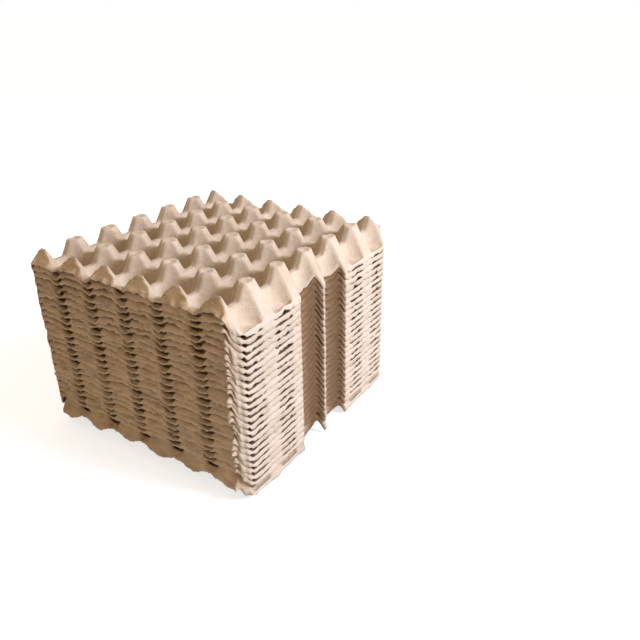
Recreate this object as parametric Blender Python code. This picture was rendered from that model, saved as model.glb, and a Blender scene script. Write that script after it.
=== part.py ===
"""A stack of moulded pulp egg trays, nested one in the next.

Every tray is one thin shell: a net of hollow posts joined by low saddles, with a cup between each four
posts. The long sides end in a drafted skirt, the other two in a row of half cups with a thick rim, and
each of those rows has two finger notches. Metres, +Z up, with the origin under the middle of the stack.
X runs along the skirted sides, Y along the rows of half cups.
"""

import math

import bmesh
import bpy

# The net of cups and posts
TRAY_COUNT = 24
CUP_COLUMNS = 5
CUP_ROWS = 6
CELL = 0.0485
WALL = 0.00155
FLOOR_DEPTH = 0.0460
FLOOR_RADIUS = 0.0054
BOWL_DEPTH = 0.0291
BOWL_REACH_X = 0.0165
BOWL_REACH_Y = 0.0152
POST_TOP_REACH = 0.0087
SKIRT_SADDLE_DROP = 0.0165
CROSS_SADDLE_DROP = 0.0121
POINT_BELOW_FLOOR = 0.0040

# The skirt along both long sides, whose draft lets one tray sink into the next
DRAFT = math.radians(15.5)
SEAT_GAP = 0.0005
SKIRT_DEPTH = 0.0175
SIDE_CREST_DROP = 0.0131
SKIRT_END_REACH = 0.0121

# The half cups and their rim at both ends
END_REACH = 0.02425
END_TOP_REACH = 0.0053
RIM_DROP = 0.0330
LIP_DROP = 0.0388
SCOOP_REACH = 0.0131
SCOOP_DROP = 0.0340
CORNER_SETBACK = 0.0073
BUTTRESS_WIDTH = 0.0100

# The finger notches, one in each of the two half cups next to the middle of an end
NOTCH_WIDTH = 0.0412
NOTCH_DEPTH = 0.0136
NOTCH_DROP = 0.0301
NOTCH_ROWS = (2, 3)

# Places of the posts as shares of a turn round a cup, or of the way along a half cup, and the sides of rings
POST_SHARE = 1 / 8
BLUNT_POST_SHARES = (3 / 32, 5 / 32)
FLOOR_SIDES = 4
BOWL_SIDES = 8
NOTCH_STEPS = 5
PLAIN_NOTCH_STEPS = 3

PULP_COLOUR = (0.56, 0.42, 0.30)
PULP_ROUGHNESS = 0.95

# Trays meet on their skirts, so the wall and the draft set how far each one sinks into the next
NEST_STEP = (WALL + SEAT_GAP) / math.sin(DRAFT)

# How deep the pointed cups of the hidden trays run
POINTED_DEPTH = FLOOR_DEPTH + POINT_BELOW_FLOOR

# Directions of a post's four top corners
EAST, NORTH, WEST, SOUTH = (1, 0), (0, 1), (-1, 0), (0, -1)


def across(column):
    """X of a line of posts, or of a place between two of them."""
    return (column - CUP_COLUMNS / 2) * CELL


def along(row):
    """Y of a line of posts, or of a place between two of them."""
    return (row - CUP_ROWS / 2) * CELL


def upright(a, b, c):
    """How level a face is: the upward share of its normal, 1 for a flat one and 0 for a wall."""
    u = [q - p for p, q in zip(a, b)]
    v = [q - p for p, q in zip(a, c)]
    normal = (u[1] * v[2] - u[2] * v[1], u[2] * v[0] - u[0] * v[2], u[0] * v[1] - u[1] * v[0])
    return abs(normal[2]) / math.hypot(*normal)


def wall_drop():
    """How far below the upper face the lower one lies on a cup's sloping sides, measured straight down."""
    half = CELL / 2
    point, post = (0, 0, -POINTED_DEPTH), (half, half, 0)
    return WALL / min(
        upright(point, post, (half, 0, -SKIRT_SADDLE_DROP)),
        upright(point, post, (0, half, -CROSS_SADDLE_DROP)),
    )


class Sheet:
    """One tray as a net of triangles. Every point has a place on the upper face and one on the lower."""

    def __init__(self):
        self.places = {}
        self.triangles = []

    def point(self, key, upper, lower):
        self.places[key] = (upper, lower)
        return key

    def triangle(self, a, b, c):
        if len({a, b, c}) == 3:
            self.triangles.append((a, b, c))

    def fan(self, centre, chain):
        for a, b in zip(chain, chain[1:]):
            self.triangle(centre, a, b)

    def merge(self, first, second):
        """Fills the strip between two chains of (station, key). At equal stations the first chain moves on."""
        i = j = 0
        while i < len(first) - 1 or j < len(second) - 1:
            ends_first = i == len(first) - 1
            if not ends_first and (j == len(second) - 1 or first[i + 1][0] <= second[j + 1][0]):
                self.triangle(first[i][1], second[j][1], first[i + 1][1])
                i += 1
            else:
                self.triangle(first[i][1], second[j][1], second[j + 1][1])
                j += 1

    def ring(self, inner, outer):
        """Fills the band between two rings around a cup's middle, with the turn as the station."""
        self.merge(inner + [(1 + inner[0][0], inner[0][1])], outer + [(1 + outer[0][0], outer[0][1])])

    def mesh(self, name):
        """Both faces and the edge band between them, as one closed mesh."""
        work = bmesh.new()
        upper = {key: work.verts.new(places[0]) for key, places in self.places.items()}
        lower = {key: work.verts.new(places[1]) for key, places in self.places.items()}
        edges = {}
        for triangle in self.triangles:
            work.faces.new([upper[key] for key in triangle])
            work.faces.new([lower[key] for key in reversed(triangle)])
            for pair in zip(triangle, triangle[1:] + triangle[:1]):
                edges.setdefault(frozenset(pair), []).append(pair)
        for pairs in edges.values():
            if len(pairs) == 1:
                a, b = pairs[0]
                work.faces.new([upper[b], upper[a], lower[a], lower[b]])
        bmesh.ops.recalc_face_normals(work, faces=work.faces)
        made = bpy.data.meshes.new(name)
        work.to_mesh(made)
        work.free()
        return made


def skirt_face(drop, inside):
    """How far in from the skirt's lower edge its outer or inner face is, at this drop from the post tops."""
    return (SKIRT_DEPTH - drop) * math.tan(DRAFT) + (WALL / math.cos(DRAFT) if inside else 0)


def side_of(row):
    """-1 on the first skirted side, 1 on the other and 0 between them."""
    return {0: -1, CUP_ROWS: 1}.get(row, 0)


def side_line(row, drop, inside):
    """Y of a line of posts or crests, which on the outer lines lies in the skirt's face."""
    return along(row) - side_of(row) * skirt_face(drop, inside)


def add_posts(sheet, blunt):
    """Post tops. A blunt one is a small flat diamond, and the others come to a point."""
    for column in range(CUP_COLUMNS + 1):
        for row in range(CUP_ROWS + 1):
            if not blunt:
                drop = wall_drop()
                upper = (across(column), side_line(row, 0, False), 0)
                lower = (across(column), side_line(row, drop, True), -drop)
                sheet.point(("post", column, row), upper, lower)
                continue
            corners = [
                add_post_corner(sheet, column, row, way)
                for way in (EAST, NORTH, WEST, SOUTH)
                if side_of(row) != way[1] or not way[1]
            ]
            sheet.fan(corners[0], corners[1:])


def add_post_corner(sheet, column, row, way):
    """One corner of a post's flat top. The skirts cut the outer posts in half and the end faces trim theirs."""
    places = []
    for reach, drop in ((POST_TOP_REACH, 0), (POST_TOP_REACH - WALL, WALL)):
        x, y = across(column), along(row)
        side = side_of(row)
        end = {0: -1, CUP_COLUMNS: 1}.get(column, 0)
        if way[1]:
            y += way[1] * reach
        elif side:
            y = side_line(row, drop, drop > 0)
            x += way[0] * (reach - skirt_face(drop, drop > 0))
        elif end == way[0]:
            x += way[0] * (END_TOP_REACH - drop)
        else:
            x += way[0] * reach
        places.append((x, y, -drop))
    return sheet.point(("post", column, row, way), *places)


def post(column, row, way, blunt):
    """The key of the corner of a post that faces this way, which on a pointed post is the post itself."""
    return ("post", column, row, way) if blunt else ("post", column, row)


def add_saddles(sheet):
    """The low places between neighbouring posts, which on the outer lines are the skirt's crests."""
    drop = wall_drop()
    for column in range(CUP_COLUMNS + 1):
        for row in range(CUP_ROWS):
            x, y = across(column), along(row + 1 / 2)
            upper = (x, y, -SKIRT_SADDLE_DROP)
            sheet.point(("saddle_y", column, row), upper, (x, y, -SKIRT_SADDLE_DROP - drop))
    for column in range(CUP_COLUMNS):
        for row in range(CUP_ROWS + 1):
            x, low = across(column + 1 / 2), SIDE_CREST_DROP if side_of(row) else CROSS_SADDLE_DROP
            upper = (x, side_line(row, low, False), -low)
            lower = (x, side_line(row, low + drop, True), -low - drop)
            sheet.point(("saddle_x", column, row), upper, lower)


def cup_edge(column, row, blunt):
    """The ring of posts and saddles round a cup, from its east saddle, with the turn as the station."""
    corners = ((1, 1), (0, 1), (0, 0), (1, 0))
    saddles = (
        ("saddle_y", column + 1, row),
        ("saddle_x", column, row + 1),
        ("saddle_y", column, row),
        ("saddle_x", column, row),
    )
    facing = ((SOUTH, WEST), (EAST, SOUTH), (NORTH, EAST), (WEST, NORTH))
    ring = []
    for quarter, (saddle, corner, ways) in enumerate(zip(saddles, corners, facing)):
        ring.append((quarter / 4, saddle))
        for turn_share, way in zip(BLUNT_POST_SHARES if blunt else (POST_SHARE,), ways):
            key = post(column + corner[0], row + corner[1], way, blunt)
            ring.append((quarter / 4 + turn_share, key))
    return ring


def cup_ring(sheet, name, column, row, reach, drop, count, first):
    """A ring of points inside a cup. reach and drop each hold the value above and below the wall."""
    ring = []
    for step in range(count):
        turn = first + step / count
        places = []
        for (reach_x, reach_y), depth in zip(reach, drop):
            out = reach_y * math.sin(turn * math.tau)
            if side_of(row + (out > 0)) * out > 0:
                out *= 1 - skirt_face(0, False) / (CELL / 2)
            x = across(column + 1 / 2) + reach_x * math.cos(turn * math.tau)
            places.append((x, along(row + 1 / 2) + out, -depth))
        ring.append((turn, sheet.point((name, column, row, step), *places)))
    return ring


def add_pointed_cup(sheet, column, row):
    """A cup whose faces run down to one point, for the trays that lie hidden in the stack."""
    x, y = across(column + 1 / 2), along(row + 1 / 2)
    tip = sheet.point(("tip", column, row), (x, y, -POINTED_DEPTH), (x, y, -POINTED_DEPTH - wall_drop()))
    keys = [key for _, key in cup_edge(column, row, False)]
    sheet.fan(tip, keys + keys[:1])


def add_floor(sheet, column, row):
    """The small flat floor that an egg stands on."""
    reach = ((FLOOR_RADIUS,) * 2, (FLOOR_RADIUS + WALL / 2,) * 2)
    drop = (FLOOR_DEPTH, FLOOR_DEPTH + WALL)
    ring = cup_ring(sheet, "floor", column, row, reach, drop, FLOOR_SIDES, POST_SHARE)
    keys = [key for _, key in ring]
    sheet.fan(keys[0], keys[1:])
    return ring


def add_flat_cup(sheet, column, row):
    """A cup with straight sides and a flat floor."""
    sheet.ring(add_floor(sheet, column, row), rotate(cup_edge(column, row, False), 1))


def add_bowl_cup(sheet, column, row):
    """A cup with a full bowl, a flat floor and blunt posts round it."""
    reach = ((BOWL_REACH_X, BOWL_REACH_Y),) * 2
    drop = (BOWL_DEPTH, BOWL_DEPTH + WALL + WALL / 2)
    bowl = cup_ring(sheet, "bowl", column, row, reach, drop, BOWL_SIDES, 0)
    sheet.ring(bowl, cup_edge(column, row, True))
    sheet.ring(add_floor(sheet, column, row), rotate(bowl, 1))


def rotate(ring, count):
    """The same ring started some points later, with its stations still rising."""
    return ring[count:] + [(1 + turn, key) for turn, key in ring[:count]]


def add_skirt(sheet, row, blunt):
    """A drafted skirt, from the half posts and crests down to a straight lower edge."""
    upper, lower = [], []
    for column in range(CUP_COLUMNS + 1):
        end = {0: -1, CUP_COLUMNS: 1}.get(column, 0)
        x = across(column) + end * SKIRT_END_REACH
        low = SKIRT_DEPTH + (wall_drop() if end else 0)
        inner = (x, side_line(row, low, True), -low)
        outer = (x, along(row), -SKIRT_DEPTH)
        lower.append((column, sheet.point(("hem", column, row), outer, inner)))
        for way in (WEST, EAST) if blunt else (EAST,):
            upper.append((column, post(column, row, way, blunt)))
        if column < CUP_COLUMNS:
            upper.append((column + 1 / 2, ("saddle_x", column, row)))
    sheet.merge(lower, upper)


def add_end(sheet, column, way, blunt):
    """A row of half cups between buttresses, down to the rim, with the finger notches."""
    x = across(column) + way[0] * END_REACH
    for row in range(CUP_ROWS + 1):
        for half in (-1, 1):
            if side_of(row) == half:
                continue
            if side_of(row):
                y = along(row) + half * CORNER_SETBACK
            else:
                y = along(row) + half * buttress_half(row, half, blunt)
            sheet.point(foot(column, row, half, blunt), (x, y, -RIM_DROP), (x, y, -LIP_DROP))
        if not side_of(row):
            sheet.triangle(
                post(column, row, way, blunt), foot(column, row, -1, blunt), foot(column, row, 1, blunt)
            )
    for row in range(CUP_ROWS):
        upper = [
            (0, post(column, row, way, blunt)),
            (POST_SHARE, post(column, row, NORTH, blunt)),
            (1 / 2, ("saddle_y", column, row)),
            (1 - POST_SHARE, post(column, row + 1, SOUTH, blunt)),
            (1, post(column, row + 1, way, blunt)),
        ]
        feet = foot(column, row, 1, blunt), foot(column, row + 1, -1, blunt)
        if row in NOTCH_ROWS:
            sheet.merge(upper, notch(sheet, column, row, way, feet, blunt))
        else:
            add_scoop(sheet, column, row, way, [key for _, key in upper], feet)


def buttress_half(row, half, blunt):
    """Half the width of a buttress at the rim, up to the notch where one lies beside it."""
    if (row if half > 0 else row - 1) in NOTCH_ROWS:
        return (CELL - NOTCH_WIDTH) / 2
    return BUTTRESS_WIDTH / 2 if blunt else 0


def foot(column, row, half, blunt):
    """The key of a buttress foot. On a plain tray both feet are one, but for those beside a notch."""
    beside = {row - 1, row} & set(NOTCH_ROWS)
    if side_of(row) or blunt or len(beside) == 2:
        return ("foot", column, row, half)
    return ("foot", column, row)


def add_scoop(sheet, column, row, way, upper, feet):
    """A half cup that opens over the rim."""
    x, y = across(column) + way[0] * SCOOP_REACH, along(row + 1 / 2)
    places = (x, y, -SCOOP_DROP), (x, y, -SCOOP_DROP - wall_drop())
    hollow = sheet.point(("scoop", column, row), *places)
    sheet.fan(hollow, [feet[0]] + upper + [feet[1], feet[0]])


def notch(sheet, column, row, way, feet, blunt):
    """The rounded edge of a finger notch, as a chain from foot to foot."""
    steps = NOTCH_STEPS if blunt else PLAIN_NOTCH_STEPS
    chain = [(0, feet[0])]
    for step in range(1, steps):
        turn = math.pi * step / steps
        x = across(column) + way[0] * (END_REACH - NOTCH_DEPTH * math.sin(turn))
        y = along(row + 1 / 2) - NOTCH_WIDTH / 2 * math.cos(turn)
        places = (x, y, -NOTCH_DROP), (x, y, -NOTCH_DROP - wall_drop())
        chain.append((step / steps, sheet.point(("notch", column, row, step), *places)))
    return chain + [(1, feet[1])]


def tray_mesh(name, add_cup, blunt):
    """One whole tray, with its post tops at height zero."""
    sheet = Sheet()
    add_posts(sheet, blunt)
    add_saddles(sheet)
    for column in range(CUP_COLUMNS):
        for row in range(CUP_ROWS):
            add_cup(sheet, column, row)
    for row in (0, CUP_ROWS):
        add_skirt(sheet, row, blunt)
    for column, way in ((0, WEST), (CUP_COLUMNS, EAST)):
        add_end(sheet, column, way, blunt)
        for row, half in ((0, 1), (CUP_ROWS, -1)):
            corner = foot(column, row, half, blunt)
            sheet.triangle(post(column, row, way, blunt), ("hem", column, row), corner)
    return sheet.mesh(name)


def pulp():
    """Grey-brown moulded pulp."""
    material = bpy.data.materials.new("pulp")
    material.use_nodes = True
    shader = material.node_tree.nodes["Principled BSDF"]
    shader.inputs["Base Color"].default_value = (*PULP_COLOUR, 1)
    shader.inputs["Roughness"].default_value = PULP_ROUGHNESS
    shader.inputs["Metallic"].default_value = 0
    return material


def build_stack():
    """Nests the trays upwards. The lowest shows its flat feet and the highest its bowls and post tops."""
    lowest = tray_mesh("flat_cups", add_flat_cup, False)
    hidden = tray_mesh("pointed_cups", add_pointed_cup, False)
    highest = tray_mesh("bowl_cups", add_bowl_cup, True)
    material = pulp()
    for mesh in (lowest, hidden, highest):
        mesh.materials.append(material)
    for number in range(1, TRAY_COUNT + 1):
        mesh = {1: lowest, TRAY_COUNT: highest}.get(number, hidden)
        tray = bpy.data.objects.new(f"tray_{number:02d}", mesh)
        tray.location.z = FLOOR_DEPTH + WALL + (number - 1) * NEST_STEP
        bpy.context.scene.collection.objects.link(tray)


for old in list(bpy.data.objects):
    bpy.data.objects.remove(old)
build_stack()
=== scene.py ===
"""Looks for the stack of moulded pulp egg trays.

Each tray is one shell of wet-pressed pulp: a smooth height field of posts, saddles and cups, a second
sheet one wall below it, and an edge band between them. Heights and places in the field are in pitches,
the distance from one cup to the next, with zero at the post tops and the first post at the first corner.
"""

import math

import bpy
import numpy as np
from mathutils import Matrix, Vector


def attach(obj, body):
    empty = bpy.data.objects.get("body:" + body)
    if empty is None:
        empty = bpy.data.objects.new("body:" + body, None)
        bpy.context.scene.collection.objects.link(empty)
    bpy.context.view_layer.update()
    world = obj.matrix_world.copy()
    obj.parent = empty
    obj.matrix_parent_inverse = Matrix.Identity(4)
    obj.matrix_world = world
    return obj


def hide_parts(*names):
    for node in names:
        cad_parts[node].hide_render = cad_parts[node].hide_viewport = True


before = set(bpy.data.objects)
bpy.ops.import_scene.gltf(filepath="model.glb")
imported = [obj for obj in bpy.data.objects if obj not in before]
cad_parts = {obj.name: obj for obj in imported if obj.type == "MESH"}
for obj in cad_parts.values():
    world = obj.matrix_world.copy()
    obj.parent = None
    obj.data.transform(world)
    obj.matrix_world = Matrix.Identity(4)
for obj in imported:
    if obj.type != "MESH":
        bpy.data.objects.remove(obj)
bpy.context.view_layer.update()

# The net, as in part.py. Lengths are in metres as far as NEST_STEP.
TRAY_COUNT = 24
COLUMNS, ROWS = 5, 6
CELL = 0.0485
WALL = 0.00155
SEAT_GAP = 0.0005
FIRST_TOP = 0.04755
DRAFT = math.radians(15.5)
NEST_STEP = (WALL + SEAT_GAP) / math.sin(DRAFT)
STEP = NEST_STEP / CELL
MIDDLE_X, MIDDLE_Y = COLUMNS / 2, ROWS / 2

# Numbers of the trays whose edges differ, and from which number on the edges get more ragged
LOWEST, SECOND, RAGGED_RIMS, RAGGED_HEMS, RAGGED_OVER = 1, 2, 19, 13, 5

# A cup's side from its middle out: distance from the middle and height
CUP_REACH = (0, 0.125, 0.16, 0.21, 0.27, 0.33, 0.38, 0.415, 0.44, 0.47, 0.52, 0.565, 1.2)
CUP_HEIGHT = (
    *(-0.9485, -0.9485, -0.915, -0.85, -0.755, -0.635, -0.505),
    *(-0.395, -0.315, -0.225, -0.10, 0.02, 1.75),
)
SMOOTH_REACH = np.linspace(0, CUP_REACH[-1], 481)
SMOOTH_HEIGHT = np.interp(SMOOTH_REACH, CUP_REACH, CUP_HEIGHT)
SMOOTHINGS = 8
for _ in range(SMOOTHINGS):
    SMOOTH_HEIGHT[1:-1] = (SMOOTH_HEIGHT[:-2] + 2 * SMOOTH_HEIGHT[1:-1] + SMOOTH_HEIGHT[2:]) / 4

# How much a cup is narrowed along Y, beside another cup and towards a skirt, and a half cup's floor
CUP_NARROWING, OUTER_NARROWING = 1.05, 1.085
HALF_CUP_FLOOR = -0.725

# The ridge between two posts: flat top, straight slope, flat saddle
POST_HALF, SADDLE_START = 0.165, 0.35
SADDLE_ALONG, SADDLE_ACROSS = -0.262, -0.335

# The ridge along a skirt, and how far in it fades to the plain one
CREST_SPOTS, CREST_HEIGHTS = (0.1, 0.28, 0.37, 0.5), (0, -0.185, -0.325, -0.343)
CREST_REACH, CREST_FADE = 0.34, 0.2
DIMPLE_DEPTH, DIMPLE_WIDTH = 0.036, 0.08

# The faces that cut the net off: the ends, then the skirts
END_TOP, END_FOOT, RIM = 5.1, 5.5, -0.68
END_REACH = END_FOOT - COLUMNS
SIDE_TOP, HEM = 0.10, -0.36
FOOT_CURL = 0.035

# The skirts of the highest trays lean back below their post tops, the more the higher the tray
LEAN, LEAN_TOP, LEAN_LIFT, LEANING_TRAYS = 2.1, 0.165, 0.3, 5

# How softly two surfaces of the net meet
HALF_CUP_BLEND, CUP_BLEND, RIDGE_BLEND, END_BLEND = 0.06, 0.03, 0.012, 0.035
SKIRT_BLEND, LEAN_BLEND = 0.02, 0.03

# The cut corners and the finger notches of the outline
CORNER_LONG, CORNER_WIDE = 0.25, 0.15
CORNER_PULL_X, CORNER_PULL_Y = 0.125, 0.075
NOTCH_MIDDLES = (2.525, 3.475)
NOTCH_HALF, NOTCH_DEPTH = 0.425, 0.28

# Grid lines near an edge, and the even step between them: the top tray, then the ones below it
TOP_END_LINES, TOP_STEP = (0, 0.0167, 1 / 30), 1 / 30
TOP_SIDE_LINES = (0, 0.0125, 0.025, 0.0375, 0.05, 0.0625, 0.075, 0.0875, 0.1)
LOWER_END_LINES, LOWER_STEP = (0, 0.0167, 0.04, 0.075, 0.115, 0.155, 0.195, 0.24, 0.285, 1 / 3), 1 / 24
LOWER_SIDE_LINES = (0, 0.0125, 0.025, 0.0375, 0.05, 0.07, 0.1, 0.14, 0.19, 0.25, 1 / 3)
COARSE = 4

# The rim that hangs from the half cups, row by row: share of its length and outward swell
LIP_STEPS = (0.12, 0.5, 0.88, 1.0)
LIP_SWELL = (0.006, 0.009, 0.004, -0.004)
HEM_LIP = 0.008
RIM_LIP, RIM_LIP_WAVE = 0.134, 0.014
LIP_START, LIP_FADE, FULL_SWELL = 5.22, 0.25, 0.1

# The rim is shorter near the corners, given as how much, how far in and how wide, and at the notches
CORNER_SHORTER, CORNER_AT, CORNER_SPREAD = 0.112, 0.17, 0.075
NOTCH_SHORTER, NOTCH_SPREAD = 0.045, 0.36
CALM_LIP, RAGGED_LIP, LIP_TRIM, LIP_CALM_CORNER = 0.026, 0.034, 0.2, 4

# Seeded waves: seed, to which the tray's number is added, longest and shortest wave, and how many
WAVES = {
    "own": (100, 1.4, 0.16, 9),
    "fine": (300, 0.22, 0.06, 8),
    "slow": (600, 6.0, 1.8, 4),
    "lumps": (900, 0.45, 0.085, 22),
    "streaks": (50, 2.5, 0.25, 8),
}
SHARED_WAVES, SHARED_SHIFT, SHARED_SIZE = (5, 2.2, 0.5, 7), 0.21, 0.012
LUMP_SIZE = 0.0065

# Hems: how far up they bend and curl, and the heights of their waves from the longest to the shortest
HEM_REACH, CURL_REACH = 0.045, 0.028
HEM_SLOW, HEM_WAVE, HEM_FRAY = 0.028, 0.016, 0.004

# The lobes that hang under the saddles: width, drop, and what raggedness adds and lifts
LOBE_WIDTH, LOBE_DROP, LOBE_RAGGED, LOBE_LIFT = 0.17, 0.035, 0.02, 0.018
SECOND_LOBE_SHARE, SECOND_LOBE_LIFT = 0.2, 0.02

# The lowest tray's hem droops at its posts. Its edges have sunk, the more the nearer the edge.
DROOP_LEAST, DROOP_MORE, DROOP_AT_SADDLE, DROOP_PROUD = 0.07, 0.13, 0.02, 0.13
SUNK, SUNK_REACH, SUNK_CURVE = 0.095, 0.42, 1.3

# How far hems stand proud of the tray below, and the farthest that any torn edge does along Y
PROUD, PROUD_WAVE, PROUD_FRAY, CURL_MOST = 0.028, 0.022, 0.009, 0.05
MOST_PROUD = 0.155

# Flares: where the torn pulp stands out near a corner, and how strongly. The far side and the top
# tray have a share of that. Sizes along Y are a middle one, its spread and the limits.
FLARES = ((5.27, 1.0), (-0.27, 0.16))
FLARE_WIDTH, FLARE_DEPTH, FLARE_WANDER = 0.036, 0.040, 0.05
FAR_FLARE_SHARE, TOP_FLARE_SHARE = 0.4, 0.45
FLARE_SIZE, FLARE_SPREAD, FLARE_LIMITS = 0.14, 0.13, (0.06, 0.2)
FLARE_SHARE_X, FLARE_LIFT, FLARE_LIFT_SPREAD = 0.12, 0.045, 0.04

# Rims of the half cups: how far in they bend, their waves, and where the ragged ones are lifted
RIM_REACH, RIM_WAVE, RIM_FRAY = 0.06, 0.008, 0.003
RIM_PROUD, RIM_PROUD_WAVE = 0.004, 0.006
RIM_LIFT, RIM_LIFT_AT, RIM_LIFT_WIDTH = 0.02, 1.75, 0.5

# Where along the waves each use starts to read, so that no two of them rise and fall together
PROUD_RUN, PROUD_FRAY_RUN, RIM_PROUD_RUN, RIM_LIFT_RUN = 9, 3, 5, 3
FLARE_PLACE_RUN, FLARE_SIZE_RUN, FLARE_LIFT_RUN = 2.0, 7.0, 3.0

# Wear and painted highlight of the pale torn edges, and the brown tone: its mean, its spread from tray to
# tray and its streaks
EDGE_WEAR_AND_HIGHLIGHT = 0.7
TONE, TONE_SPREAD, TONE_STREAKS, TONE_MOST, TOP_TONE_SHARE = 0.07, 0.08, 0.10, 0.35, 0.5
TONE_SEED = 7000

# The finger channels get painted shadow, a darker brown without the pale edges: where they start, how wide
# they are, and how sharply both fade
CHANNEL_START, CHANNEL_DEEPENS, CHANNEL_HALF, CHANNEL_FADE = 2.62, 0.12, 0.47, 0.06
CHANNEL_SHADOW, CHANNEL_PALE_EDGE_CUT, TOP_CHANNEL = 1.0, 0.9, 0.2

# Painted shade inside the stack, given as where it starts and fades, on the strip under a hem and under
# rims
INSIDE_SHADE_START, LOWEST_INSIDE_SHADE_START, INSIDE_SHADE_FADE = 0.02, 0.12, 0.06
STRIP_SHADE, STRIP_MARGIN, STRIP_FADE, STRIP_DEPTH, STRIP_DEPTH_FADE = 0.5, 0.05, 0.04, 0.14, 0.05
RIM_SHADE, RIM_SHADE_START, RIM_SHADE_FADE = 0.32, 0.02, 0.05
# Painted shade on the lower sheet: how dark, and how far in it is full
UNDER_SHADE, UNDER_SHADE_FADE = 0.3, 0.05

# Painted shade in the cups of the top tray: how brown, from which height down and from how far in
CUP_SHADE, CUP_SHADE_TOP, CUP_SHADE_INSIDE, CUP_SHADE_FADE = 0.17, -0.04, 0.5, 0.1

# The skirts' painted shade, a browner colour on the sides of the stack: how far under its face and how far
# in it goes, where it ends, and the flares, which are left out of it
SKIRT_SUNK, SKIRT_SUNK_FADE, SKIRT_EDGE, SKIRT_EDGE_FADE = 0.045, 0.03, 0.03, 0.01
SKIRT_DEPTH, SKIRT_DEPTH_FADE, SKIRT_END, SKIRT_END_FADE = 0.19, 0.03, 5.42, 0.1
PALE_FLARE_OUT, PALE_FLARE_FADE, PALE_FLARE_START = 0.055, 0.03, 2.6

# Noise patterns: scale, detail, roughness, distortion and stretch
PATTERNS = {
    "mottle": (28, 3, 0.55, 0, (1, 1, 1)),
    "damp": (75, 4, 0.6, 0.8, (0.7, 0.7, 1.6)),
    "blotch": (120, 5, 0.65, 0, (1, 1, 1)),
    "curd": (290, 4, 0.6, 0.9, (1, 1, 1)),
    "fibre": (620, 6, 0.7, 1.6, (1, 1, 2.2)),
    "cross": (700, 6, 0.7, 1.4, (2.2, 1, 1)),
    "fleck": (900, 2, 0.5, 0, (1, 1, 1)),
}

# What the patterns paint, in order: where each starts and is full, how strong it gets, and its colour
COATS = (
    ("blotch", 0.40, 0.75, 0.45, (0.64, 0.48, 0.32)),
    ("fibre", 0.52, 0.75, 0.5, (0.86, 0.75, 0.60)),
    ("cross", 0.54, 0.78, 0.45, (0.56, 0.43, 0.30)),
    ("curd", 0.45, 0.72, 0.5, (0.60, 0.465, 0.335)),
    ("fleck", 0.68, 0.74, 0.55, (0.30, 0.23, 0.17)),
)
PULP_DEEP, PULP_PALE = (0.75, 0.605, 0.45), (0.80, 0.665, 0.515)
# The skirts' painted shade, and the colour of the darker patches on them
PAINTED_SKIRT_SHADE, PATCH_COLOUR = (0.72, 0.50, 0.285), (0.36, 0.245, 0.14)
# Pale edges, partly real and partly painted highlight, and the brown of random tone and painted shade
TORN_AND_HIGHLIGHT_COLOUR, TONE_AND_SHADE_COLOUR = (0.81, 0.69, 0.56), (0.25, 0.148, 0.075)

# How a pattern or a tint is read: the range it is taken from, and the range that becomes
MOTTLE, PATCHES = (0.35, 0.65, 0, 1), (0.45, 0.68, 0, 0.6)
TORN_HIGHLIGHT, TORN_HIGHLIGHT_BY_SKIRT, TORN_HIGHLIGHT_SHOWN = (0.3, 0.7, 0.2, 1), (0, 1, 1, 0.55), (0, 1, 0, 0.85)
ROUGHNESS, BLOTCH_BUMP, CURD_BUMP = (0.3, 0.7, 0.86, 1), (0, 1, 0, 1.6), (0, 1, 0, 1.8)
BUMP_STRENGTH, BUMP_DISTANCE, SPECULAR = 0.8, 0.0006, 0.25

# The floor, whose glow shows only as background, the fill from all round, and the lamp
WHITE = (1, 1, 1, 1)
FLOOR_COLOUR, FLOOR_ROUGHNESS, FLOOR_GLOW, FLOOR_HALF = (0.78, 0.80, 0.84, 1), 0.9, 0.70, 30.0
FILL_COLOUR, FILL_STRENGTH = (1.0, 0.79, 0.545, 1), 0.445
LAMP_SIZE, LAMP_POWER, LAMP_COLOUR = 0.9, 43, (0.95, 1.01, 1.22)
LAMP_PLACE, LAMP_AIM = (1.66, 0.42, 1.34), (0, 0, 0.12)

# The camera: azimuth, elevation and roll in degrees, place in metres, lens and sensor in millimetres
CAMERA_TURN, CAMERA_PLACE = (32.708, 26.115, -0.845), (0.47777, -0.52613, 0.45286)
CAMERA_LENS, SENSOR_WIDTH = 36.146, 36


def smooth_min(a, b, blend):
    """The lower of two heights, with a rounded edge where they cross."""
    mix = np.clip(0.5 + 0.5 * (b - a) / blend, 0, 1)
    return b * (1 - mix) + a * mix - blend * mix * (1 - mix)


def near(value, middle, width):
    """A bell curve: 1 at the middle, close to 0 past twice the width."""
    return np.exp(-(((value - middle) / width) ** 2))


def rise(value, start, width):
    """0 up to the start, 1 from one width past it, straight between."""
    return np.clip((value - start) / width, 0, 1)


def fall(value, end, width):
    """0 from the end on, 1 up to one width before it, straight between."""
    return np.clip((end - value) / width, 0, 1)


def from_saddle(x):
    """1 midway between two posts, 0 at a post."""
    return near(x - np.floor(x), 0.5, LOBE_WIDTH)


def cup(x, y, middle_x, middle_y):
    """Height of one cup's side, carried on past its ridge."""
    outer = ((middle_y < 1) & (y < middle_y)) | ((middle_y > ROWS - 1) & (y > middle_y))
    side_x = np.abs(x - middle_x)
    side_y = np.abs(y - middle_y) * np.where(outer, OUTER_NARROWING, CUP_NARROWING)
    height = np.interp(np.hypot(side_x, side_y), SMOOTH_REACH, SMOOTH_HEIGHT)
    half = (middle_x < 0) | (middle_x > COLUMNS)
    return np.where(half, -smooth_min(-height, -HALF_CUP_FLOOR, HALF_CUP_BLEND), height)


def skirt_face(depth, number):
    """Height of the skirt. Near the post tops of the highest trays it leans back more."""
    upright = LEAN_LIFT * np.clip((TRAY_COUNT - number) / LEANING_TRAYS, 0, 1)
    return smooth_min(HEM - HEM / SIDE_TOP * depth, LEAN * (depth - LEAN_TOP) + upright, LEAN_BLEND)


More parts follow.
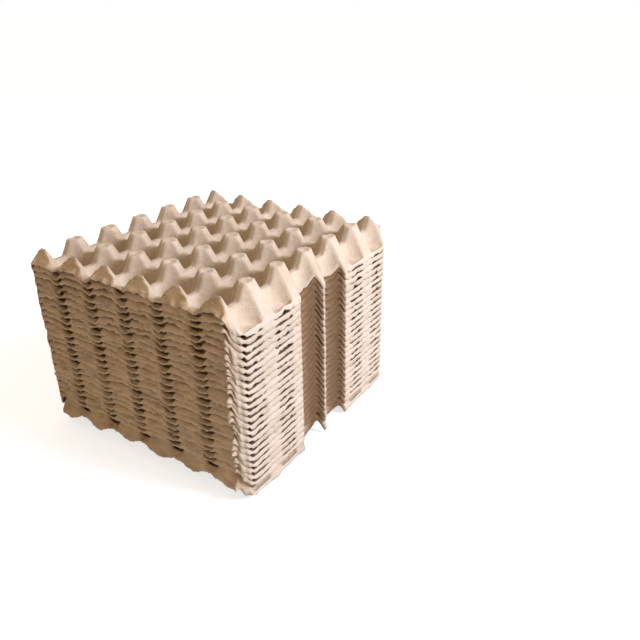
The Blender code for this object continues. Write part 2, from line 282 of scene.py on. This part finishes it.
def field(x, y, number):
    """Height of the tray's upper face."""
    west = np.clip(np.floor(x - 0.5), -1, COLUMNS - 1) + 0.5
    south = np.clip(np.floor(y - 0.5), 0, ROWS - 2) + 0.5
    rows = [
        smooth_min(cup(x, y, west, row), cup(x, y, west + 1, row), CUP_BLEND)
        for row in (south, south + 1)
    ]
    height = smooth_min(rows[0], rows[1], CUP_BLEND)

    off_x, off_y = np.abs(x - np.round(x)), np.abs(y - np.round(y))
    slope = (POST_HALF, SADDLE_START)
    ridge_x = np.interp(off_x, slope, (0, SADDLE_ALONG))
    beside = fall(np.minimum(y, ROWS - y), CREST_REACH, CREST_FADE)
    ridge_x = ridge_x + beside * (np.interp(off_x, CREST_SPOTS, CREST_HEIGHTS) - ridge_x)
    ridge_y = np.interp(off_y, slope, (0, SADDLE_ACROSS))
    dimple = DIMPLE_DEPTH * near(np.hypot(off_x, off_y), 0, DIMPLE_WIDTH)
    ridge = smooth_min(ridge_x, ridge_y, RIDGE_BLEND) - dimple
    height = smooth_min(height, ridge, RIDGE_BLEND)

    slope = RIM / (END_FOOT - END_TOP)
    height = smooth_min(height, slope * (x - END_TOP), END_BLEND)
    height = smooth_min(height, slope * (COLUMNS - END_TOP - x), END_BLEND)
    raised = np.clip(RIM - height, 0, 1)
    height = height + raised * (near(x, END_FOOT, FOOT_CURL) + near(x, COLUMNS - END_FOOT, FOOT_CURL))
    height = smooth_min(height, skirt_face(y, number), SKIRT_BLEND)
    return smooth_min(height, skirt_face(ROWS - y, number), SKIRT_BLEND)


def folded(x, y):
    """The same place in the quarter of the tray at its high X and Y."""
    return np.abs(x - MIDDLE_X) + MIDDLE_X, np.abs(y - MIDDLE_Y) + MIDDLE_Y


def warp(x, y):
    """Moves the points of a full rectangle to the tray's outline, with its cut corners and notches."""
    east, north = folded(x, y)
    corner = rise(east, END_FOOT - CORNER_LONG, CORNER_LONG) * rise(north, ROWS - CORNER_WIDE, CORNER_WIDE)
    new_y = y - np.sign(y - MIDDLE_Y) * corner * CORNER_PULL_Y
    pull = corner * CORNER_PULL_X
    for middle in NOTCH_MIDDLES:
        dip = np.sqrt(np.clip(1 - ((y - middle) / NOTCH_HALF) ** 2, 0, 1))
        pull = pull + np.clip(east - COLUMNS, 0, END_REACH) / END_REACH * NOTCH_DEPTH * dip
    return x - np.sign(x - MIDDLE_X) * pull, new_y


class Waves:
    """Smooth seeded unevenness: a sum of sine waves."""

    def __init__(self, seed, longest, shortest, count):
        random = np.random.default_rng(seed)
        self.rates = math.tau / np.geomspace(longest, shortest, count)
        self.turns = random.uniform(0, math.tau, (count, 3))
        self.ways = random.uniform(0, math.tau, count)
        self.sizes = random.uniform(0.5, 1, count) / math.sqrt(count)

    def along(self, place, lane=0):
        """Unevenness along a line. Each of the three lanes has its own run of waves."""
        parts = zip(self.rates, self.turns, self.sizes)
        return sum(size * np.sin(rate * place + turn[lane]) for rate, turn, size in parts)

    def over(self, x, y):
        """Unevenness over a surface."""
        parts = zip(self.rates, self.turns, self.sizes, self.ways)
        return sum(
            size * np.sin(rate * (x * math.cos(way) + y * math.sin(way)) + turn[0])
            for rate, turn, size, way in parts
        )


def waves(kind, number):
    """One tray's own waves of one kind."""
    seed, longest, shortest, count = WAVES[kind]
    return Waves(seed + number, longest, shortest, count)


def mirrored(low, high, edge, inner):
    """Grid lines: fine ones near both ends and even ones between."""
    count = round((high - low - 2 * edge[-1]) / inner)
    middle = [low + edge[-1] + inner * step for step in range(1, count)]
    return np.array([low + e for e in edge] + middle + [high - e for e in reversed(edge)])


def tray_grid(number):
    """The lines of the net in X and Y, and how many lines deep the fine band is, if there is one."""
    if number == TRAY_COUNT:
        ends, sides, step, band = TOP_END_LINES, TOP_SIDE_LINES, TOP_STEP, None
    else:
        ends, sides, step = LOWER_END_LINES, LOWER_SIDE_LINES, LOWER_STEP
        band = (len(ends) - 1, len(sides) - 1)
    return mirrored(COLUMNS - END_FOOT, END_FOOT, ends, step), mirrored(0, ROWS, sides, step), band


def lip_length(x, y, number, own):
    """How far the rim hangs below the edge of the upper face, all the way round."""
    east, north = folded(x, y)
    inward = ROWS - north
    rim = RIM_LIP + RIM_LIP_WAVE * np.cos(math.tau * y)
    rim = rim - CORNER_SHORTER * near(inward, CORNER_AT, CORNER_SPREAD)
    for middle in NOTCH_MIDDLES:
        rim = rim - NOTCH_SHORTER * near(y, middle, NOTCH_SPREAD)
    ragged = CALM_LIP if number < RAGGED_RIMS else RAGGED_LIP
    rim = rim + (own.along(y, 1) - LIP_TRIM) * ragged * np.clip(inward * LIP_CALM_CORNER, 0, 1)
    return HEM_LIP + (rim - HEM_LIP) * rise(east, LIP_START, LIP_FADE)


def bend_hems(number, x, y, new_x, new_y, z, own, fine):
    """Hems that wave up and down, stand a little proud of the tray below, and flare at the corners."""
    shared = Waves(*SHARED_WAVES)
    slow = waves("slow", number)
    place = number * SHARED_SHIFT
    restless = 1 + np.clip((number - RAGGED_HEMS) / RAGGED_OVER, 0, 1)
    for depth, way, lane in ((y, -1, 0), (ROWS - y, 1, 1)):
        close = near(depth, 0, HEM_REACH)
        wave = own.along(x, lane) * HEM_WAVE * restless + fine.along(x, lane) * HEM_FRAY
        wave = wave + slow.along(x, lane) * HEM_SLOW
        lobe = from_saddle(x) * (LOBE_DROP + LOBE_RAGGED * restless) - LOBE_LIFT * restless
        if number == SECOND:
            lobe = lobe * SECOND_LOBE_SHARE - SECOND_LOBE_LIFT
        if number == LOWEST:
            droop = DROOP_LEAST + DROOP_MORE * (0.5 + 0.5 * np.cos(math.tau * x))
            lobe = droop - DROOP_AT_SADDLE * from_saddle(x)
            new_y = new_y + way * close * droop * DROOP_PROUD
        z = z + close * (wave - lobe)
        curl = near(depth, 0, CURL_REACH)
        proud = PROUD + PROUD_WAVE * own.along(x + PROUD_RUN, lane)
        proud = proud + PROUD_FRAY * fine.along(x + PROUD_FRAY_RUN, lane)
        proud = np.clip(proud, 0, CURL_MOST)
        new_y = new_y + way * (curl * proud + close * shared.along(x + place, lane) * SHARED_SIZE)
        for corner, strength in FLARES:
            if lane == 1:
                strength = strength * FAR_FLARE_SHARE
            if number == TRAY_COUNT:
                strength = strength * TOP_FLARE_SHARE
            spot = corner + FLARE_WANDER * own.along(FLARE_PLACE_RUN + lane, 1)
            bend = near(x, spot, FLARE_WIDTH) * near(depth, 0, FLARE_DEPTH) * strength
            size = FLARE_SIZE + FLARE_SPREAD * fine.along(FLARE_SIZE_RUN + lane, lane)
            size = np.clip(size, *FLARE_LIMITS)
            new_y = new_y + way * bend * size
            new_x = new_x + np.sign(corner) * bend * FLARE_SHARE_X * size
            z = z + bend * (FLARE_LIFT + FLARE_LIFT_SPREAD * own.along(FLARE_LIFT_RUN + lane, 2))
    return new_x, np.clip(new_y, -MOST_PROUD, ROWS + MOST_PROUD), z


def bend_rims(number, x, y, new_x, z, own, fine):
    """Rims of the half cups, a little uneven, and lifted here and there on the highest trays."""
    for depth, way, lane in ((END_FOOT - x, 1, 0), (x + END_REACH, -1, 1)):
        close = near(depth, 0, RIM_REACH)
        wave = own.along(y, lane) * RIM_WAVE + fine.along(y, lane) * RIM_FRAY
        new_x = new_x + way * close * (RIM_PROUD + RIM_PROUD_WAVE * own.along(y + RIM_PROUD_RUN, lane))
        z = z + close * wave
        if number >= RAGGED_RIMS:
            lift = close * RIM_LIFT * near(y, RIM_LIFT_AT, RIM_LIFT_WIDTH)
            z = z + lift * (1 + own.along(y + RIM_LIFT_RUN, 2))
    return new_x, z


def from_edge(x, y):
    """How far in from the nearest edge of the full rectangle a point lies."""
    return np.minimum(np.minimum(y, ROWS - y), np.minimum(END_FOOT - x, x + END_REACH))


def shape(number, x, y):
    """The upper face of one tray, with its own dents, waves and torn edges, in pitches."""
    new_x, new_y = warp(x, y)
    z = field(new_x, new_y, number)
    own, fine = waves("own", number), waves("fine", number)
    z = z + waves("lumps", number).over(new_x, new_y) * LUMP_SIZE
    new_x, new_y, z = bend_hems(number, x, y, new_x, new_y, z, own, fine)
    new_x, z = bend_rims(number, x, y, new_x, z, own, fine)
    if number == LOWEST:
        # It carries the rest, and its edges have sunk
        z = z - SUNK * np.clip(1 - from_edge(x, y) / SUNK_REACH, 0, 1) ** SUNK_CURVE
    return new_x, new_y, z, own


def boundary(nx, ny):
    """Indices of the outline of a grid, anticlockwise seen from above."""
    south = [i * ny for i in range(nx)]
    east = [(nx - 1) * ny + j for j in range(1, ny)]
    north = [i * ny + ny - 1 for i in range(nx - 2, -1, -1)]
    west = [j for j in range(ny - 2, 0, -1)]
    return south + east + north + west


def grid_faces(nx, ny, band):
    """Quads of a grid. Inside the fine band the middle is made of coarse cells, several lines wide."""
    faces = []
    wide, deep = band if band else (nx, ny)
    last_i, last_j = nx - 1 - wide, ny - 1 - deep
    for i in range(nx - 1):
        for j in range(ny - 1):
            if band and wide <= i < last_i and deep <= j < last_j:
                continue
            faces.append((i * ny + j, (i + 1) * ny + j, (i + 1) * ny + j + 1, i * ny + j + 1))
    if not band:
        return faces
    for i in range(wide, last_i, COARSE):
        for j in range(deep, last_j, COARSE):
            # A side that meets the fine band takes in each of its lines
            east_i, north_j = i + COARSE, j + COARSE
            south = [(i + k, j) for k in range(COARSE if j == deep else 1)]
            east = [(east_i, j + k) for k in range(COARSE if east_i == last_i else 1)]
            north = [(east_i - k, north_j) for k in range(COARSE if north_j == last_j else 1)]
            west = [(i, north_j - k) for k in range(COARSE if i == wide else 1)]
            faces.append(tuple(a * ny + b for a, b in south + east + north + west))
    return faces


def hang_lip(points, loop, faces, lip, full):
    """Adds the rows of the rim below the edge. Gives all points, each row's share, and the last row."""
    rim = points[loop]
    tangent = (np.roll(rim, -1, axis=0) - np.roll(rim, 1, axis=0))[:, :2]
    tangent /= np.linalg.norm(tangent, axis=1)[:, None]
    outward = np.stack([tangent[:, 1], -tangent[:, 0]], axis=1)
    swell = np.clip(lip / FULL_SWELL, 0, 1)
    first = 0 if full else 1
    steps, swells = LIP_STEPS[first:], LIP_SWELL[first:]
    last, count, rows = list(loop), len(points), [points]
    for share, bulge in zip(steps, swells):
        row = rim.copy()
        row[:, 2] -= lip * share
        row[:, :2] += outward * (swell * bulge)[:, None]
        fresh = list(range(count, count + len(loop)))
        for k in range(len(loop)):
            following = (k + 1) % len(loop)
            faces.append((last[k], fresh[k], fresh[following], last[following]))
        rows.append(row)
        last = fresh
        count += len(loop)
    down = np.concatenate([np.zeros(len(points))] + [np.full(len(loop), share) for share in steps])
    return np.concatenate(rows), down, last


def sheet_normals(points, faces):
    """The normal of each point of a sheet."""
    sheet = bpy.data.meshes.new("sheet")
    sheet.from_pydata((points * CELL).tolist(), [], faces)
    normals = np.zeros(len(points) * 3)
    sheet.vertex_normals.foreach_get("vector", normals)
    bpy.data.meshes.remove(sheet)
    return normals.reshape(-1, 3)


def tints(number, x, y, upper, loop, down):
    """How pale at the edges (partly real, partly painted highlight), how brown above and below (random
    brown plus painted shade), and how much of the skirts' painted shade each point takes.
    """
    top = number == TRAY_COUNT
    count = len(x)
    from_middle = np.abs(upper[:, 0] - MIDDLE_X)
    depth = np.minimum(upper[:, 1], ROWS - upper[:, 1])
    inside = np.zeros(len(upper))
    inside[:count] = from_edge(x, y)

    # Pale edges, partly wear and partly painted highlight, on the hems and all over the rims
    worn_and_lit = np.zeros(len(upper))
    worn_and_lit[loop] = EDGE_WEAR_AND_HIGHLIGHT
    worn_and_lit[count:] = 1
    own_tone = TONE_SPREAD * np.random.default_rng(TONE_SEED + number).uniform(-1, 1)
    streaks = TONE_STREAKS * waves("streaks", number).over(upper[:, 0], upper[:, 1])
    tone_and_shade = np.clip(TONE + own_tone + streaks, 0, TONE_MOST) * (TOP_TONE_SHARE if top else 1)
    # Painted shadow in the finger channels: darker brown, and the pale edges there are taken away
    for middle in NOTCH_MIDDLES:
        channel = rise(from_middle, CHANNEL_START, CHANNEL_DEEPENS)
        channel = channel * fall(np.abs(upper[:, 1] - middle), CHANNEL_HALF, CHANNEL_FADE)
        tone_and_shade = np.maximum(tone_and_shade, channel * (TOP_CHANNEL if top else CHANNEL_SHADOW))
        worn_and_lit = worn_and_lit * (1 - channel * (TOP_CHANNEL if top else CHANNEL_PALE_EDGE_CUT))

    if top:
        # Painted shade low in the top tray's cups
        cups = fall(upper[:, 2], CUP_SHADE_TOP, CUP_SHADE_FADE) * CUP_SHADE
        tone_and_shade = tone_and_shade + cups * rise(inside, CUP_SHADE_INSIDE, CUP_SHADE_FADE)
    else:
        # Painted shade on what lies inside the stack, on the strip under each hem and on the lower rows of
        # the rims
        start = LOWEST_INSIDE_SHADE_START if number == LOWEST else INSIDE_SHADE_START
        tone_and_shade = tone_and_shade + rise(inside, start, INSIDE_SHADE_FADE)
        if number != LOWEST:
            strip = np.clip((upper[:, 2] - HEM - STEP + STRIP_MARGIN) / STRIP_FADE, 0, 1)
            tone_and_shade = tone_and_shade + STRIP_SHADE * strip * fall(depth, STRIP_DEPTH, STRIP_DEPTH_FADE)
        tone_and_shade = tone_and_shade + RIM_SHADE * down**2 * rise(depth, RIM_SHADE_START, RIM_SHADE_FADE)
        tone_and_shade = np.clip(tone_and_shade, 0, 1)
    # Painted shade on the lower sheet, darker farther in
    tone_and_shade_below = tone_and_shade + UNDER_SHADE * np.clip(inside / UNDER_SHADE_FADE, 0, 1)

    # The skirts, the sides of the stack, take a browner colour that is painted shade; the flares are left
    # out of it
    if number == LOWEST:
        skirt = np.ones(len(upper))
    else:
        sunk = skirt_face(depth, number) - upper[:, 2]
        skirt = fall(sunk, SKIRT_SUNK, SKIRT_SUNK_FADE)
        skirt = np.maximum(skirt, fall(depth, SKIRT_EDGE, SKIRT_EDGE_FADE))
    skirt = skirt * fall(depth, SKIRT_DEPTH, SKIRT_DEPTH_FADE)
    skirt = skirt * fall(from_middle + MIDDLE_X, SKIRT_END, SKIRT_END_FADE)
    flare = rise(-depth, PALE_FLARE_OUT, PALE_FLARE_FADE) * (from_middle > PALE_FLARE_START)
    return worn_and_lit, tone_and_shade, tone_and_shade_below, skirt * (1 - flare)


def tray(number, material):
    """Builds one tray as a closed shell."""
    lines_x, lines_y, band = tray_grid(number)
    nx, ny = len(lines_x), len(lines_y)
    x, y = (side.ravel() for side in np.meshgrid(lines_x, lines_y, indexing="ij"))
    new_x, new_y, z, own = shape(number, x, y)
    points = np.stack([new_x, new_y, z], axis=1)
    faces = grid_faces(nx, ny, band)
    loop = boundary(nx, ny)
    lip = lip_length(x[loop], y[loop], number, own)
    upper, down, last = hang_lip(points, loop, faces, lip, number in (LOWEST, TRAY_COUNT))
    lower = upper - sheet_normals(upper, faces) * (WALL / CELL)

    # The points inside coarse cells belong to no face and are left out
    used = np.zeros(len(upper), bool)
    for face in faces:
        used[list(face)] = True
    keep = np.concatenate([used, used])
    renumber = np.cumsum(keep) - 1
    shift = len(upper)
    ahead = last[1:] + last[:1]
    faces = (
        faces
        + [tuple(shift + v for v in reversed(face)) for face in faces]
        + [(b, a, shift + a, shift + b) for a, b in zip(last, ahead)]
    )
    faces = [tuple(int(renumber[v]) for v in face) for face in faces]
    both = np.concatenate([upper, lower])[keep] * CELL
    both[:, 0] -= MIDDLE_X * CELL
    both[:, 1] -= MIDDLE_Y * CELL
    both[:, 2] = np.maximum(both[:, 2] + FIRST_TOP + (number - 1) * NEST_STEP, 0)

    mesh = bpy.data.meshes.new(f"pulp_tray_{number:02d}")
    mesh.from_pydata(both.tolist(), [], faces)
    mesh.validate()
    worn_and_lit, tone_and_shade, tone_and_shade_below, skirt = tints(number, x, y, upper, loop, down)
    # The pale edges, the brown of random tone and painted shade, and where the skirts' painted shade goes
    for name, over, below in (("wear_and_highlight", worn_and_lit, worn_and_lit), ("tone_and_shade", tone_and_shade, tone_and_shade_below), ("skirt", skirt, skirt)):
        made = mesh.attributes.new(name, "FLOAT", "POINT")
        made.data.foreach_set("value", np.concatenate([over, below])[keep].astype(np.float32))
    mesh.polygons.foreach_set("use_smooth", [True] * len(mesh.polygons))
    mesh.materials.append(material)
    piece = bpy.data.objects.new(f"pulp_tray_{number:02d}", mesh)
    bpy.context.scene.collection.objects.link(piece)
    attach(piece, "root")
    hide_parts(f"tray_{number:02d}")
    return piece


def node(tree, kind, **values):
    """A new node, with its inputs and settings by name."""
    made = tree.nodes.new(kind)
    for name, value in values.items():
        if name in made.inputs:
            made.inputs[name].default_value = value
        else:
            setattr(made, name, value)
    return made


def noise(tree, place, scale, detail, rough, distortion, stretch):
    """The value of a noise pattern."""
    mapping = node(tree, "ShaderNodeMapping", Scale=stretch)
    tree.links.new(place, mapping.inputs["Vector"])
    made = node(
        tree, "ShaderNodeTexNoise", Scale=scale, Detail=detail, Roughness=rough, Distortion=distortion
    )
    tree.links.new(mapping.outputs["Vector"], made.inputs["Vector"])
    return made.outputs["Fac"]


def ramp(tree, value, low, high, first, last):
    """Maps low to high onto first to last, and holds the ends."""
    made = tree.nodes.new("ShaderNodeMapRange")
    for name, number in (("From Min", low), ("From Max", high), ("To Min", first), ("To Max", last)):
        made.inputs[name].default_value = number
    tree.links.new(value, made.inputs["Value"])
    return made.outputs["Result"]


def blend(tree, share, first, second):
    """Mixes two colours. Each is a tuple or a socket."""
    made = node(tree, "ShaderNodeMix", data_type="RGBA")
    tree.links.new(share, made.inputs["Factor"])
    ends = [socket for socket in made.inputs if socket.type == "RGBA"]
    for socket, colour in zip(ends, (first, second)):
        if isinstance(colour, tuple):
            socket.default_value = (*colour, 1)
        else:
            tree.links.new(colour, socket)
    return [socket for socket in made.outputs if socket.type == "RGBA"][0]


def combine(tree, a, b, operation="ADD"):
    """A sum, or another operation, of two sockets."""
    made = node(tree, "ShaderNodeMath", operation=operation)
    for socket, value in zip(made.inputs, (a, b)):
        tree.links.new(value, socket)
    return made.outputs["Value"]


def pulp():
    """Moulded pulp: pale fibres, mottling, brown flecks, paler torn edges that are partly real and partly
    painted highlight, painted shade on the skirts and in the hollows of the stack, and a soft rough skin.
    """
    material = bpy.data.materials.new("moulded_pulp")
    material.use_nodes = True
    tree = material.node_tree
    shader = tree.nodes["Principled BSDF"]
    place = tree.nodes.new("ShaderNodeTexCoord").outputs["Object"]
    # Pale edges (partly painted highlight), brown (random tone and painted shade), and the skirts' painted
    # shade
    skirt, tone_and_shade, wear_and_highlight = (
        node(tree, "ShaderNodeAttribute", attribute_name=name).outputs["Fac"]
        for name in ("skirt", "tone_and_shade", "wear_and_highlight")
    )

    pattern = {name: noise(tree, place, *values) for name, values in PATTERNS.items()}

    colour = blend(tree, ramp(tree, pattern["mottle"], *MOTTLE), PULP_DEEP, PULP_PALE)
    # Painted shade: the skirts are browner
    colour = blend(tree, skirt, colour, PAINTED_SKIRT_SHADE)
    for name, low, high, most, tint in COATS:
        colour = blend(tree, ramp(tree, pattern[name], low, high, 0, most), colour, tint)

    # Darker patches on the skirts, pale torn edges that are partly wear and partly painted highlight, and
    # the brown that is random tone plus painted shade inside the stack, in the channels and in the cups
    patch = combine(tree, skirt, ramp(tree, pattern["damp"], *PATCHES), "MULTIPLY")
    # Pale torn edges: partly wear, partly painted highlight, and less on the skirts
    torn = combine(tree, wear_and_highlight, ramp(tree, pattern["blotch"], *TORN_HIGHLIGHT), "MULTIPLY")
    torn = combine(tree, torn, ramp(tree, skirt, *TORN_HIGHLIGHT_BY_SKIRT), "MULTIPLY")
    colour = blend(tree, patch, colour, PATCH_COLOUR)
    colour = blend(tree, ramp(tree, torn, *TORN_HIGHLIGHT_SHOWN), colour, TORN_AND_HIGHLIGHT_COLOUR)
    # Random brown tone, and painted shade inside the stack, in the channels and in the cups
    colour = blend(tree, tone_and_shade, colour, TONE_AND_SHADE_COLOUR)
    tree.links.new(colour, shader.inputs["Base Color"])
    rough = ramp(tree, pattern["blotch"], *ROUGHNESS)
    tree.links.new(rough, shader.inputs["Roughness"])
    shader.inputs["Specular IOR Level"].default_value = SPECULAR

    height = combine(tree, pattern["fibre"], pattern["cross"])
    height = combine(tree, height, ramp(tree, pattern["blotch"], *BLOTCH_BUMP))
    height = combine(tree, height, ramp(tree, pattern["curd"], *CURD_BUMP))
    bump = node(tree, "ShaderNodeBump", Strength=BUMP_STRENGTH, Distance=BUMP_DISTANCE)
    tree.links.new(height, bump.inputs["Height"])
    tree.links.new(bump.outputs["Normal"], shader.inputs["Normal"])
    return material


def seen(tree):
    """1 for the rays that show the background: straight from the camera, or through gloss or glass."""
    path = tree.nodes.new("ShaderNodeLightPath")
    first = combine(tree, path.outputs["Is Camera Ray"], path.outputs["Is Glossy Ray"], "MAXIMUM")
    return combine(tree, first, path.outputs["Is Transmission Ray"], "MAXIMUM")


def add_floor():
    """Pale floor, which keeps the shadow."""
    material = bpy.data.materials.new("floor")
    material.use_nodes = True
    tree = material.node_tree
    shader = tree.nodes["Principled BSDF"]
    shader.inputs["Base Color"].default_value = FLOOR_COLOUR
    shader.inputs["Roughness"].default_value = FLOOR_ROUGHNESS
    shader.inputs["Emission Color"].default_value = WHITE
    tree.links.new(ramp(tree, seen(tree), 0, 1, 0, FLOOR_GLOW), shader.inputs["Emission Strength"])
    mesh = bpy.data.meshes.new("floor")
    half = FLOOR_HALF
    corners = [(-half, -half, 0), (half, -half, 0), (half, half, 0), (-half, half, 0)]
    mesh.from_pydata(corners, [], [(0, 1, 2, 3)])
    mesh.materials.append(material)
    floor = bpy.data.objects.new("floor", mesh)
    bpy.context.scene.collection.objects.link(floor)


def add_light():
    """Soft warm fill from all round, a white background, and one broad lamp off the bright end."""
    world = bpy.data.worlds.new("studio")
    bpy.context.scene.world = world
    world.use_nodes = True
    tree = world.node_tree
    tree.nodes.clear()
    fill = node(tree, "ShaderNodeBackground", Color=FILL_COLOUR, Strength=FILL_STRENGTH)
    white = node(tree, "ShaderNodeBackground", Color=WHITE, Strength=1.0)
    mix = tree.nodes.new("ShaderNodeMixShader")
    out = tree.nodes.new("ShaderNodeOutputWorld")
    tree.links.new(seen(tree), mix.inputs["Fac"])
    tree.links.new(fill.outputs["Background"], mix.inputs[1])
    tree.links.new(white.outputs["Background"], mix.inputs[2])
    tree.links.new(mix.outputs["Shader"], out.inputs["Surface"])

    lamp = bpy.data.lights.new("key", "AREA")
    lamp.shape = "DISK"
    lamp.size = LAMP_SIZE
    lamp.energy = LAMP_POWER
    lamp.color = LAMP_COLOUR
    key = bpy.data.objects.new("key", lamp)
    key.location = LAMP_PLACE
    aim = Vector(LAMP_AIM) - key.location
    key.rotation_euler = aim.to_track_quat("-Z", "Y").to_euler()
    bpy.context.scene.collection.objects.link(key)


def add_camera():
    """The camera, fitted to the post tops and tray edges of the photograph."""
    azimuth, elevation, roll = (math.radians(v) for v in CAMERA_TURN)
    flat = math.cos(elevation)
    back = Vector((math.sin(azimuth) * flat, -math.cos(azimuth) * flat, math.sin(elevation)))
    right = Vector((math.cos(azimuth), math.sin(azimuth), 0))
    up = back.cross(right)
    right, up = (
        right * math.cos(roll) + up * math.sin(roll),
        up * math.cos(roll) - right * math.sin(roll),
    )
    lens = bpy.data.cameras.new("camera")
    lens.sensor_width = SENSOR_WIDTH
    lens.lens = CAMERA_LENS
    camera = bpy.data.objects.new("camera", lens)
    place = Matrix((right, up, back)).transposed().to_4x4()
    place.translation = CAMERA_PLACE
    camera.matrix_world = place
    bpy.context.scene.collection.objects.link(camera)
    bpy.context.scene.camera = camera


pulp_material = pulp()
for tray_number in range(1, TRAY_COUNT + 1):
    tray(tray_number, pulp_material)
add_floor()
add_light()
add_camera()
bpy.context.scene.view_settings.view_transform = "Standard"
